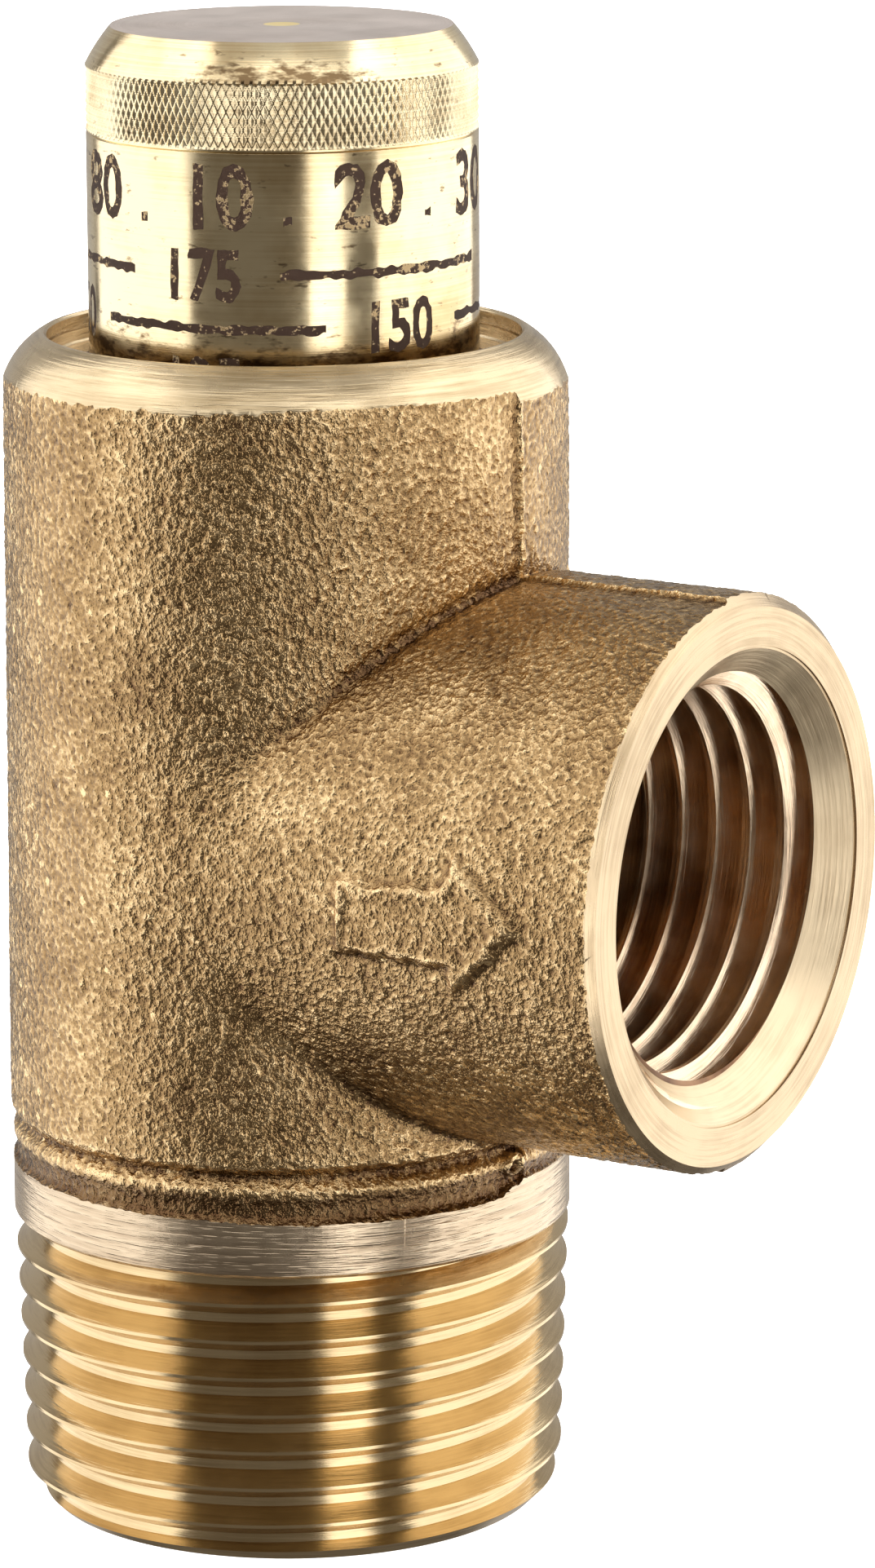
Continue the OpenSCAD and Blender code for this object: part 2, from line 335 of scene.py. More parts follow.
def surface_net(field, low, step):
    """Points and quads of the field's zero surface, one point in each cell that it crosses. The
    field is sampled every step from the corner low."""
    shape = field.shape
    inside = field < 0
    count = np.zeros(tuple(n - 1 for n in shape), np.int8)
    for corner in range(8):
        s = tuple(slice((corner >> a) & 1, shape[a] - 1 + ((corner >> a) & 1)) for a in range(3))
        count += inside[s]
    cells = np.argwhere((count > 0) & (count < 8))
    number = np.full(count.shape, -1, np.int64)
    number[tuple(cells.T)] = np.arange(len(cells))
    return low + step * net_points(field, cells), net_quads(inside, number)


def boolean(obj, tool, operation):
    """Cuts or joins obj with tool, which is used up. Both are closed."""
    mod = obj.modifiers.new("cut", "BOOLEAN")
    mod.object = tool
    mod.operation = operation
    mod.solver = "MANIFOLD"
    before = obj.data
    after = evaluated_mesh(obj)
    obj.modifiers.clear()
    obj.data = after
    bpy.data.meshes.remove(before)
    discard(tool)


def to_x_axis(obj, x, z):
    """Turns a solid built about Z so that its axis runs along -X from the point (x, 0, z)."""
    turn = Matrix.Rotation(-math.pi / 2, 4, "Y")
    obj.data.transform(Matrix.Translation(Vector((x, 0, z)) * MM) @ turn)


def shade(obj, angle=35):
    """Smooth shading that keeps edges sharper than the angle."""
    mesh = obj.data
    mesh.shade_smooth()
    mesh.set_sharp_from_angle(angle=math.radians(angle))


# ---------------------------------------------------------------- node materials


class Nodes:
    """A material's node tree, with a short call for each kind of node."""

    def __init__(self, name):
        self.material = bpy.data.materials.new(name)
        self.material.use_nodes = True
        self.tree = self.material.node_tree
        self.shader = self.tree.nodes["Principled BSDF"]
        self.point = self.add("ShaderNodeTexCoord").outputs["Object"]

    def add(self, kind, inputs=None, **settings):
        """A new node, its inputs set or linked, and its own settings."""
        node = self.tree.nodes.new(kind)
        for key, value in settings.items():
            setattr(node, key, value)
        for key, value in (inputs or {}).items():
            self.set(node.inputs[key], value)
        return node

    def set(self, socket, value):
        """Links the socket if value is another node's output, and fills it in otherwise."""
        if isinstance(value, bpy.types.NodeSocket):
            self.tree.links.new(value, socket)
        else:
            socket.default_value = value

    def math(self, operation, a, b=0.0):
        return self.add("ShaderNodeMath", {0: a, 1: b}, operation=operation).outputs[0]

    def vector_math(self, operation, a, b):
        return self.add("ShaderNodeVectorMath", {0: a, 1: b}, operation=operation)

    def height(self):
        """Height above the inlet's end, in metres."""
        return self.add("ShaderNodeSeparateXYZ", {0: self.point}).outputs[2]

    def noise(self, scale, detail=2.0, rough=0.5, vector=None):
        """Noise from 0 to 1, with scale lumps to the metre."""
        return self.add("ShaderNodeTexNoise", {"Scale": scale, "Detail": detail, "Roughness": rough,
                                              "Vector": vector or self.point}).outputs["Fac"]

    def ramp(self, value, *stops):
        """Blends between stops, each a place from 0 to 1 with a colour or a grey."""
        node = self.add("ShaderNodeValToRGB", {"Fac": value})
        ramp = node.color_ramp
        while len(ramp.elements) < len(stops):
            ramp.elements.new(0.5)
        for element, (place, colour) in zip(ramp.elements, stops):
            element.position = place
            element.color = (*colour, 1) if isinstance(colour, tuple) else (colour, colour, colour, 1)
        return node.outputs["Color"]

    def range(self, value, low, high, to_low=0.0, to_high=1.0):
        """Value stretched from low..high to to_low..to_high, and held there beyond."""
        return self.add("ShaderNodeMapRange", {"Value": value, "From Min": low, "From Max": high,
                                               "To Min": to_low, "To Max": to_high}).outputs[0]

    def mix(self, factor, a, b):
        """Colour a where factor is 0 and b where it is 1."""
        node = self.add("ShaderNodeMix", data_type="RGBA")
        self.set(node.inputs[0], factor)
        for socket, value in ((node.inputs[6], a), (node.inputs[7], b)):
            self.set(socket, (*value, 1) if isinstance(value, tuple) else value)
        return node.outputs[2]

    def turned_point(self, axis, centre=(0, 0, 0), around=0.02):
        """A point as (radius, distance along the axis, around millimetres for each radian), so that
        noise read there runs in rings about the axis, as a lathe tool leaves it."""
        moved = self.vector_math("ADD", self.point, tuple(-c * MM for c in centre))
        parts = self.add("ShaderNodeSeparateXYZ", {0: moved.outputs[0]}).outputs
        order = {"Z": (0, 1, 2), "X": (1, 2, 0)}[axis]
        u, v, w = (parts[i] for i in order)
        radius = self.math("SQRT", self.math("ADD", self.math("MULTIPLY", u, u),
                                             self.math("MULTIPLY", v, v)))
        turn = self.math("ABSOLUTE", self.math("ARCTAN2", v, u))
        return self.add("ShaderNodeCombineXYZ", {0: radius, 1: w,
                                                 2: self.math("MULTIPLY", turn, around * MM)}).outputs[0]

    def bump(self, height, distance):
        """A normal bent as if a height from 0 to 1 stood distance millimetres high."""
        return self.add("ShaderNodeBump", {"Height": height, "Distance": distance * MM}).outputs["Normal"]

    def finish(self, **inputs):
        """Sets the shader's inputs and gives the material."""
        names = {"colour": "Base Color", "metal": "Metallic", "rough": "Roughness", "normal": "Normal",
                 "spec": "Specular IOR Level"}
        for key, value in inputs.items():
            value = (*value, 1) if isinstance(value, tuple) else value
            self.set(self.shader.inputs[names[key]], value)
        return self.material


def cast_brass():
    """Sand-cast brass: brown-gold with a fine glitter, lighter on worn peaks, with painted shade in
    hollows and creases and under the bead above the collar.
    """
    n = Nodes("cast_brass")
    grain = n.noise(4400, 2, 0.55)
    blotch = n.noise(260, 3, 0.55)
    # Pointiness: lighter on worn peaks and grains, and darker in hollows and creases, which is painted
    # shade.
    edge = n.range(n.add("ShaderNodeNewGeometry").outputs["Pointiness"], 0.4, 0.6)
    tone = n.math("ADD", n.math("MULTIPLY", grain, 0.3), n.math("MULTIPLY", blotch, 0.2))
    tone = n.math("ADD", tone, n.math("MULTIPLY", edge, 0.5))
    colour = n.ramp(tone, (0.37, (0.12, 0.064, 0.03)), (0.5, (0.37, 0.235, 0.105)),
                    (0.63, (0.86, 0.62, 0.335)))
    # Painted shade: a ragged dark band on the casting under the bead, just above the collar.
    wobble = n.math("MULTIPLY", n.math("SUBTRACT", blotch, 0.5), 0.5 * MM)
    height = n.math("ADD", n.height(), wobble)
    below = n.range(height, (GROOVE_Z - 0.75) * MM, (GROOVE_Z - 1.0) * MM)
    above = n.range(height, (COLLAR_TOP - 0.3) * MM, (COLLAR_TOP - 0.1) * MM)
    under_bead_shade = n.math("MULTIPLY", n.math("MULTIPLY", below, above), 0.7)
    colour = n.mix(under_bead_shade, colour, (0.10, 0.05, 0.022))
    rough = n.range(n.noise(2600, 2), 0.35, 0.65, 0.13, 0.3)
    normal = n.bump(grain, 0.13)
    return n.finish(colour=colour, metal=1.0, rough=rough, normal=normal)


def dark_band(n, colour, middle, spread, facing=None):
    """Colour darkened to brown in a ragged band round a height, thinning out over spread, either all
    round or only where the surface reaches farthest in a direction: facing is (direction, distance). The
    cap's bands at the body's rim and on its chamfer are painted shadow and painted reflections."""
    stretched = n.vector_math("MULTIPLY", n.point, (1, 1, 2.6)).outputs[0]
    ragged = n.noise(900, 3, 0.65, stretched)
    off = n.math("ABSOLUTE", n.math("SUBTRACT", n.height(), middle * MM))
    amount = n.range(off, spread * MM, 0.0)
    if facing:
        direction, distance = facing
        reach = n.vector_math("DOT_PRODUCT", n.point, direction).outputs["Value"]
        close = n.range(reach, (distance - 0.7) * MM, (distance + 0.5) * MM)
        amount = n.math("MULTIPLY", amount, close)
    amount = n.range(n.math("ADD", ragged, n.math("MULTIPLY", amount, 0.3)), 0.63, 0.8)
    return n.mix(amount, colour, (0.20, 0.13, 0.065))


def turned_brass(name, axis, centre=(0, 0, 0), colour=(0.88, 0.73, 0.46), dark=(0.62, 0.45, 0.23),
                 rough=(0.1, 0.24), groove=0.004, fine=9000, streaks=0.3, around=0.02, dark_bands=()):
    """Machined brass with fine tool rings about an axis, patches of dulling and ragged darker bands
    painted at given heights.
    streaks is how much the rings colour the metal, and around breaks them up on the way round."""
    n = Nodes(name)
    rings = n.noise(fine, 3, 0.7, n.turned_point(axis, centre, around))
    patches = n.noise(160, 4, 0.6)
    tone = n.math("ADD", n.math("MULTIPLY", patches, 1 - streaks), n.math("MULTIPLY", rings, streaks))
    metal_colour = n.ramp(tone, (0.35, dark), (0.55, colour))
    for band in dark_bands:
        metal_colour = dark_band(n, metal_colour, *band)
    gloss = n.range(n.noise(420, 3, 0.6), 0.3, 0.7, *rough)
    normal = n.bump(rings, groove)
    return n.finish(colour=metal_colour, metal=1.0, rough=gloss, normal=normal)


def inside_brass():
    """Tarnished walls of the waterways."""
    n = Nodes("tarnished_brass")
    rings = n.noise(7000, 3, 0.7, n.turned_point("X", (0, 0, OUTLET_Z)))
    colour = n.ramp(n.noise(300, 4, 0.6), (0.35, (0.12, 0.06, 0.035)), (0.65, (0.34, 0.19, 0.10)))
    return n.finish(colour=colour, metal=1.0, rough=n.range(rings, 0.3, 0.7, 0.22, 0.5),
                    normal=n.bump(rings, 0.01))


def steel():
    """Bright drawn steel, for the spring and the small parts inside."""
    n = Nodes("drawn_steel")
    streaks = n.noise(6000, 3, 0.6, n.turned_point("Z"))
    colour = n.ramp(streaks, (0.3, (0.50, 0.49, 0.47)), (0.7, (0.72, 0.71, 0.69)))
    return n.finish(colour=colour, metal=1.0, rough=n.range(streaks, 0.3, 0.7, 0.2, 0.4),
                    normal=n.bump(streaks, 0.004))


def seal_rubber():
    """Black rubber with a fine matt grain."""
    n = Nodes("seal_rubber")
    grain = n.noise(4000, 3, 0.6)
    colour = n.ramp(grain, (0.3, (0.012, 0.012, 0.012)), (0.7, (0.035, 0.034, 0.033)))
    return n.finish(colour=colour, metal=0.0, rough=n.range(grain, 0.3, 0.7, 0.55, 0.8),
                    normal=n.bump(grain, 0.01))


def worn_paint():
    """Black filling that has rubbed thin in places, so that brass shows through."""
    n = Nodes("worn_black_paint")
    wear = n.math("ADD", n.math("MULTIPLY", n.noise(3200, 3, 0.65), 0.7),
                  n.math("MULTIPLY", n.noise(420, 2), 0.3))
    worn = n.ramp(wear, (0.56, 0.0), (0.61, 1.0))
    colour = n.mix(worn, (0.022, 0.011, 0.006), (0.45, 0.33, 0.18))
    return n.finish(colour=colour, metal=worn, rough=0.6, spec=0.12, normal=n.bump(wear, 0.02))


# ---------------------------------------------------------------- the valve body


def barrel_radius(x, y, z):
    """Cast radius of the barrel: slight draft, then a groove, a bead that falls away below it,
    and spare metal where the lathe cuts the collar."""
    draft = BARREL_LOW_R + (BARREL_TOP_R - BARREL_LOW_R) * (z - 18) / (CHAMFER_Z - 18)
    groove = 0.5 * np.exp(-((z - GROOVE_Z) / 0.36) ** 2)
    bead = 0.07 + 0.25 * smooth_step(z, GROOVE_Z - 0.5, COLLAR_TOP + 0.4)
    bead = bead * smooth_step(z, GROOVE_Z + 0.1, GROOVE_Z - 0.4)
    top = COLLAR_TOP + RAISED * near_flow_side(np.arctan2(y, x))
    spare = 0.8 * smooth_step(z, top + 0.2, top - 0.6)
    return draft - groove - bead + spare


def near_flow_side(angle):
    """1 on the stretch of the collar, below the outlet, that was turned a little higher."""
    return smooth_step(angle, math.radians(-10), math.radians(-5)) * (angle < math.radians(60))


def cast_field(x, y, z):
    """Rough distance to the cast skin: the barrel and the branch, blended at their crease. It is
    sharp near the parting plane and wider round the sides, with a shallow groove along its upper
    part. The branch shrinks away behind the valve axis, so that its blend leaves no edge on the
    barrel."""
    barrel = np.hypot(x, y) - barrel_radius(x, y, z)
    branch = np.hypot(y, z - OUTLET_Z) - BRANCH_R + 0.08 * np.minimum(x, 0) ** 2
    branch = np.maximum(np.maximum(branch, -x - 6), x - OUTLET_X - 1)
    field = smooth_min(barrel, branch, 0.35 + 0.8 * smooth_step(np.abs(y), 11.8, 13.3))
    upper = smooth_step(z, OUTLET_Z + 5.5, OUTLET_Z + 7.5)
    field = field + 0.2 * upper * np.exp(-(np.abs(barrel - branch) / 0.4) ** 2)
    return np.maximum(field, np.maximum(COLLAR_Z - 0.6 - z, z - RIM_Z - 1))


def arrow_height(p):
    """Raised flow arrow on the near side of the branch, pointing to the outlet."""
    tail, neck, tip = OUTLET_X - 13.4, OUTLET_X - 7.3, OUTLET_X - 4.1
    corners = [(tail, -1.7), (neck, -1.8), (neck + 0.1, -2.9), (tip, 0.1), (neck, 3.1), (neck - 0.4, 1.6),
               (tail, 1.4)]
    wander = [0.16 * noise(p, 0.7, seed) for seed in (85, 86)]
    d = polygon_distance(p[:, 0] + wander[0], p[:, 2] - OUTLET_Z + wander[1], corners)
    raised = 0.27 * smooth_step(d, 0.4, -0.3) + 0.12 * np.exp(-((d + 0.2) / 0.34) ** 2)
    return np.where(p[:, 1] < -6, raised, 0)


def parting_height(p):
    """The mould's halves meet on the plane of both axes: one sits proud, with a thin flash line."""
    side = p[:, 1] + 0.5 + 0.08 * noise(p, 1.7, 5)
    facing = smooth_step(p[:, 0], 3, 9)
    step = 0.2 * smooth_step(side, -0.1, 0.1)
    flash = 0.1 * np.exp(-(side / 0.16) ** 2) * (0.6 + 0.6 * noise(p, 1.1, 9))
    return facing * (step + flash - 0.1)


def lump_height(p):
    """A drop of spare metal beside the bead, with a pit in it."""
    centre = np.array([BARREL_LOW_R - 0.1, -1.16, GROOVE_Z - 0.75])
    far = np.linalg.norm((p - centre) * (1, 1, 1.2), axis=1)
    pit = np.linalg.norm(p - centre - (0, -0.15, -0.1), axis=1)
    return 0.42 * smooth_step(far, 0.95, 0.3) - 0.5 * smooth_step(pit, 0.42, 0.12)


def grain_height(p):
    """Sand grain about 0.4 mm across on slow swells."""
    warp = np.stack([noise(p, 0.5, 21), noise(p, 0.5, 22), noise(p, 0.5, 23)], 1) * 0.12
    grains = noise(p + warp, 0.21, 31)
    swell = noise(p, 2.4, 51) * 0.5 + noise(p, 6.5, 61) * 0.5
    return 0.052 * grains + 0.025 * noise(p, 0.45, 71) + 0.03 * swell


def field_normal(p):
    """Outward directions of the cast field at points p."""
    out = np.zeros_like(p)
    for a in range(3):
        step = np.zeros(3)
        step[a] = 0.02
        out[:, a] = cast_field(*(p + step).T) - cast_field(*(p - step).T)
    return out / np.maximum(np.linalg.norm(out, axis=1, keepdims=True), 1e-9)


def cast_skin(materials):
    """The casting as it leaves the mould, closed, before anything is machined."""
    step = 0.25
    low = np.array([-14.6, -14.6, COLLAR_Z - 1.5])
    high = np.array([OUTLET_X + 2, 14.6, RIM_Z + 2])
    shape = tuple(np.ceil((high - low) / step).astype(int))
    axes = [(low[a] + step * np.arange(shape[a])).astype(np.float32) for a in range(3)]
    x, y, z = np.meshgrid(*axes, indexing="ij", sparse=True)
    verts, quads = surface_net(cast_field(x, y, z), low, step)
    obj = mesh_object("cast_skin", verts, quads.tolist(), materials, CAST)
    finer = obj.modifiers.new("finer", "SUBSURF")
    finer.subdivision_type = "SIMPLE"
    finer.levels = 1
    mesh = evaluated_mesh(obj)
    obj.modifiers.clear()
    obj.data = mesh
    p = np.empty(len(mesh.vertices) * 3, np.float32)
    mesh.vertices.foreach_get("co", p)
    p = roughened(p.reshape(-1, 3).astype(float) / MM)
    mesh.vertices.foreach_set("co", (p * MM).astype(np.float32).ravel())
    mesh.update()
    return obj


def roughened(p):
    """Points moved on to the cast field's surface, then out or in by everything cast on it."""
    for _ in range(2):
        normal = field_normal(p)
        p = p - normal * np.clip(cast_field(*p.T), -0.3, 0.3)[:, None]
    rise = grain_height(p) + arrow_height(p) + parting_height(p) + lump_height(p)
    return p + field_normal(p) * rise[:, None]


def crowned(low, high, rise, outward):
    """Nine points of a slightly convex line between two corners, each (radius, height)."""
    low, high, outward = np.array(low), np.array(high), np.array(outward)
    return [tuple(low + (high - low) * t + rise * 4 * t * (1 - t) * outward)
            for t in np.linspace(0, 1, 9)]


def top_chamfer():
    """Chamfer from the barrel's side up to the flat of the rim."""
    low = (BARREL_TOP_R + 0.12, CHAMFER_Z - 0.1)
    return crowned(low, (COUNTERBORE_R + 0.25, RIM_Z), 0.30, (0.73, 0.68))


def turned_envelope(materials):
    """What the lathe leaves of the outside: rim chamfer, and the collar below the casting."""
    edge = 0.18
    outline = [(0, COLLAR_Z - 0.2), (COLLAR_R - 0.9, COLLAR_Z - 0.2), (COLLAR_R - edge, COLLAR_Z),
               (COLLAR_R, COLLAR_Z + edge), (COLLAR_R, COLLAR_TOP), (40, COLLAR_TOP + 0.01),
               (40, COLLAR_TOP + RAISED), (40, COLLAR_TOP + RAISED + 0.01), (40, CHAMFER_Z - 0.1)]
    outline += top_chamfer() + [(0, RIM_Z)]

    def radial(angle, r, z):
        angle = (angle + math.pi) % (2 * math.pi) - math.pi
        raised = (near_flow_side(angle) > 0.5) & (r > 30) & (z < COLLAR_TOP + RAISED + 0.005)
        return np.where(raised, COLLAR_R, r)

    slots = [COLLAR] * 8 + [RIM] * (len(outline) - 9)
    return lathe("envelope", outline, 256, materials, slots, radial)


def bore_tool(materials):
    """Everything bored from both ends along the valve axis: the inlet, the seat, the spring's
    chamber, the hole that the cap screws into, and the counterbore with its groove."""
    inlet, seat, chamber, screwed, entry = 8.6, 6.8, 9.6, 8.2, CAP_R + 0.33
    groove = LEDGE_Z + 0.62
    outline = [(0, -1), (inlet, -1), (inlet, 14.5), (seat, 14.5), (seat, 20.5), (chamber, 20.5),
               (chamber, 37.8), (screwed, 38.7), (screwed, 45), (entry, 45), (entry, LEDGE_Z - 0.12),
               (CAP_R + 0.45, LEDGE_Z), (COUNTERBORE_R - 0.1, LEDGE_Z), (COUNTERBORE_R, LEDGE_Z + 0.1),
               (COUNTERBORE_R, groove), (COUNTERBORE_R + 0.16, groove + 0.04),
               (COUNTERBORE_R + 0.16, groove + 0.16), (COUNTERBORE_R, groove + 0.2),
               (COUNTERBORE_R, RIM_Z - 0.12), (COUNTERBORE_R + 0.25, RIM_Z + 0.13), (0, RIM_Z + 1)]
    slots = [INSIDE] * 11 + [RIM] * (len(outline) - 12)
    return lathe("bore_tool", outline, 192, materials, slots)


def thread_section(depth):
    """One pitch of pipe thread as (part of a pitch, depth): narrow crest, straight flanks and a
    nearly flat root."""
    phases, depths = [0, 2 * HALF_CREST], [0.0, 0.0]
    for s in np.linspace(0.15, 0.85, 13):
        drop = math.sqrt(3) * (0.5 - abs(s - 0.5) - HALF_CREST) * PIPE_PITCH
        phases.append(s + HALF_CREST)
        depths.append(min(drop, depth - 0.1 * abs(s - 0.5)))
    return phases, depths


def inlet_thread(materials):
    """Male taper thread, cut to length with its end chamfer."""
    start = CREST_Z - (9 + HALF_CREST - CREST_TURN) * PIPE_PITCH
    screw = helix("inlet_thread", thread_section(THREAD_DEPTH), PIPE_PITCH, 11, start,
                  lambda z: INLET_R + PIPE_TAPER * z, 288, materials, THREAD)
    outline = [(0, 0), (11.9, 0), (13.05, 1.15), (14.2, 5), (14.2, COLLAR_Z - 0.9),
               (12.6, COLLAR_Z + 0.2), (0, COLLAR_Z + 0.2)]
    limit = lathe("thread_limit", outline, 288, materials, [THREAD] * 6)
    boolean(screw, limit, "INTERSECT")
    return screw


def outlet_tool(materials):
    """The outlet's faced end, lead-in, female taper thread and the passage behind it."""
    depth_end = 13.6
    screw = helix("outlet_thread", thread_section(OUTLET_DEPTH), PIPE_PITCH, 11, -4.0,
                  lambda z: OUTLET_R + OUTLET_DEPTH - PIPE_TAPER * z, 224, materials, OUTLET_THREAD)
    limit = lathe("outlet_limit", [(0, 0.4), (11.5, 0.4), (11.5, depth_end), (8.4, depth_end + 1.2),
                                   (0, depth_end + 1.2)], 224, materials, [OUTLET_THREAD] * 4)
    boolean(screw, limit, "INTERSECT")
    outline = [(0, -3), (MOUTH_R + 0.04, -3), (MOUTH_R, 0), (MOUTH_R - 0.02, 0.1),
               (MOUTH_R - 0.13, 0.12), (CONE_R, CONE_DEPTH), (6.5, 3.2), (6.5, OUTLET_X), (0, OUTLET_X)]
    mouth = lathe("outlet_mouth", outline, 224, materials, [FACED] * 4 + [CONE] + [INSIDE] * 3)
    boolean(screw, mouth, "UNION")
    outline = [(0, -4), (30, -4), (30, 1.6), (FACING_SLOPE_R + 1.6, 1.6),
               (FACING_SLOPE_R, 0), (10, 0), (0, 0)]
    facing = lathe("outlet_facing", outline, 224, materials, [FACED] * 6)
    boolean(screw, facing, "UNION")
    to_x_axis(screw, OUTLET_X, OUTLET_Z)
    return screw


def valve_body(materials):
    """The casting with everything that is machined on it."""
    body = cast_skin(materials)
    boolean(body, turned_envelope(materials), "INTERSECT")
    boolean(body, inlet_thread(materials), "UNION")
    boolean(body, outlet_tool(materials), "DIFFERENCE")
    boolean(body, bore_tool(materials), "DIFFERENCE")
    body.name = "valve_body_casting"
    shade(body, 30)
    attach(body, "body")
    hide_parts("valve_body")
    return body


# ---------------------------------------------------------------- the calibrated cap

# The cap's material slots
SIDE, FACE, KNURL, DIMPLE = range(4)
KNURL_TOP = CAP_TOP - 1.75
KNURL_LOW = KNURL_TOP - 3.05
KNURLS = 146
KNURL_DEPTH = 0.12
KNURL_ANGLE = 25.5


def cap_outline():
    """Cap, seen as a half section from the axis at the bottom to the axis at the top."""
    skirt = CAP_LOW.z
    bore = 7.0
    crown = CAP_TOP - 6.3
    outside = [(8.55, skirt), (8.55, 48.9), (CAP_R - 0.12, 48.9), (CAP_R, 49.02)]
    outside += [(CAP_R, z) for z in np.linspace(52, KNURL_LOW - 0.15, 8)]
    outside += [(CAP_R - 0.09, KNURL_LOW - 0.07), (CAP_R - 0.09, KNURL_LOW)]
    outside += [(CAP_R, z) for z in np.arange(KNURL_LOW + 0.02, KNURL_TOP, 0.05)]
    outside += crowned((CAP_R, KNURL_TOP), (8.0, CAP_TOP), 0.06, (0.83, 0.55))
    inside = [(0, crown + 1.3), (2.2, crown + 1.3), (2.5, crown), (bore, crown), (bore, skirt)]
    top = [(6, CAP_TOP), (3, CAP_TOP - 0.01), (0.85, CAP_TOP - 0.02), (0.6, CAP_TOP - 0.09),
           (0, CAP_TOP - 0.14)]
    return inside + outside + top


def knurl(angle, radius, z):
    """Diamond knurl rolled into the head: two crossing sets of fine ridges."""
    band = smooth_step(z, KNURL_LOW, KNURL_LOW + 0.12) * smooth_step(z, KNURL_TOP, KNURL_TOP - 0.1)
    lead = math.tan(math.radians(KNURL_ANGLE)) / CAP_R
    one = angle * KNURLS / (2 * math.pi)
    climb = z * lead * KNURLS / (2 * math.pi)
    waves = [np.abs(((one + s * climb) % 1) * 2 - 1) for s in (1, -1)]
    height = np.minimum(waves[0], waves[1])
    outer = radius > CAP_R - 0.3
    return radius - np.where(outer, band * KNURL_DEPTH * (1 - height), 0)


def turn_outward(work):
    """Every separate closed part of a bmesh gets faces that look outward."""
    left = set(work.faces)
    while left:
        island, edge = [], [left.pop()]
        while edge:
            face = edge.pop()
            island.append(face)
            for other in (f for e in face.edges for f in e.link_faces if f in left):
                left.discard(other)
                edge.append(other)
        if sum(f.calc_center_median().dot(f.normal) * f.calc_area() for f in island) < 0:
            bmesh.ops.reverse_faces(work, faces=island)


def flat_figures(text, size):
    """A bmesh of figures in a plain face, in millimetres, 2 thick, with their long edges split."""
    curve = bpy.data.curves.new("figures", "FONT")
    curve.body = text
    curve.size = size
    curve.align_x = "CENTER"
    curve.resolution_u = 3
    curve.offset = 0.026 * size
    curve.extrude = 1.0
    holder = add_object("figures", curve)
    mesh = evaluated_mesh(holder)
    bpy.data.objects.remove(holder)
    work = bmesh.new()
    work.from_mesh(mesh)
    bpy.data.meshes.remove(mesh)
    bmesh.ops.remove_doubles(work, verts=work.verts, dist=1e-5)
    for _ in range(2):
        long = [e for e in work.edges
                if e.calc_length() > 0.22 and abs(e.verts[0].co.z - e.verts[1].co.z) < 0.1]
        bmesh.ops.subdivide_edges(work, edges=long, cuts=1)
        bmesh.ops.triangulate(work, faces=work.faces)
    return work


def text_solid(text, size, low_r, high_r, angle, z, materials, width):
    """Figures with ragged edges, bent round the cap between two radii, centred at angle and z.
    width narrows them."""
    work = flat_figures(text, size)
    flat = np.array([(v.co.x + angle, v.co.y, z) for v in work.verts])
    ragged = np.stack([noise(flat, 0.33, 81), noise(flat, 0.33, 82)], 1) * 0.075
    for v, (dx, dy) in zip(work.verts, ragged):
        v.co.x, v.co.y = v.co.x + dx, v.co.y + dy
    bmesh.ops.recalc_face_normals(work, faces=work.faces)
    turn_outward(work)
    for v in work.verts:
        r = high_r if v.co.z > 0 else low_r
        a = math.radians(angle) + v.co.x * width / CAP_R
        v.co = Vector((r * math.cos(a), r * math.sin(a), z + v.co.y - size * 0.35)) * MM
    mesh = bpy.data.meshes.new("figures")
    work.to_mesh(mesh)
    work.free()
    for m in materials:
        mesh.materials.append(m)
    return add_object("figures", mesh)


def band_solid(start, end, z, height, low_r, high_r, materials):
    """A curved bar on the cap between two angles in degrees."""
    steps = max(2, int((end - start) / 0.7) + 1)
    angles = np.linspace(start, end, steps)
    place = np.stack([angles * 0.16, np.full(steps, z), np.zeros(steps)], 1)
    edges = np.stack([noise(place, 0.35, 91), noise(place, 0.35, 92)], 1) * 0.12
    verts, faces = [], []
    for a, (low, high) in zip(np.radians(angles), edges):
        for r, dz in ((low_r, low - height / 2), (high_r, low - height / 2), (high_r, high + height / 2),
                      (low_r, high + height / 2)):
            verts.append((r * math.cos(a), r * math.sin(a), z + dz))
    for i in range(steps - 1):
        for k in range(4):
            a, b = i * 4 + k, i * 4 + (k + 1) % 4
            faces.append([b, a, a + 4, b + 4])
    last = (steps - 1) * 4
    faces += [[0, 1, 2, 3], [last + 3, last + 2, last + 1, last]]
    return mesh_object("bar", verts, faces, materials)


# Pressures from the top row down, and in degrees the first label's bearing and the gap that each
# label leaves in its ring line
ROWS = ("175", "150", "125", "100", "75")
LABEL_ANGLE = -81
LABEL_GAP = 47
MARK_DEPTH = 0.07


def scale_marks(low_r, high_r, materials):
    """Pressure figures with broken ring lines, and a plain graduated row above them."""
    parts = []

    def label(text, size, at, z, width):
        parts.append(text_solid(text, size, low_r, high_r, at, z, materials, width))

    def bar(start, end, z, height):
        parts.append(band_solid(start, end, z, height, low_r, high_r, materials))

    for row, text in enumerate(ROWS):
        z = SCALE_TOP - row * SCALE_STEP
        for k in range(3):
            at = LABEL_ANGLE + (row % 2) * 60 + k * 120
            label(text, 3.3, at, z, 0.82)
            bar(at + LABEL_GAP / 2, at + 120 - LABEL_GAP / 2, z, 0.42)
    z = SCALE_TOP + 3.6
    for i in range(8):
        at = LABEL_ANGLE + 5 + i * 45
        label(str(10 * i + 10), 4.1, at, z, 0.86)
        bar(at + 19.5, at + 22, z - 1.1, 0.4)
    return join(parts, "marks")


def join(objects, name):
    """One object from several, which are used up."""
    work = bmesh.new()
    for o in objects:
        work.from_mesh(o.data)
    mesh = bpy.data.meshes.new(name)
    work.to_mesh(mesh)
    work.free()
    for m in objects[0].data.materials:
        mesh.materials.append(m)
    for o in objects:
        discard(o)
    return add_object(name, mesh)


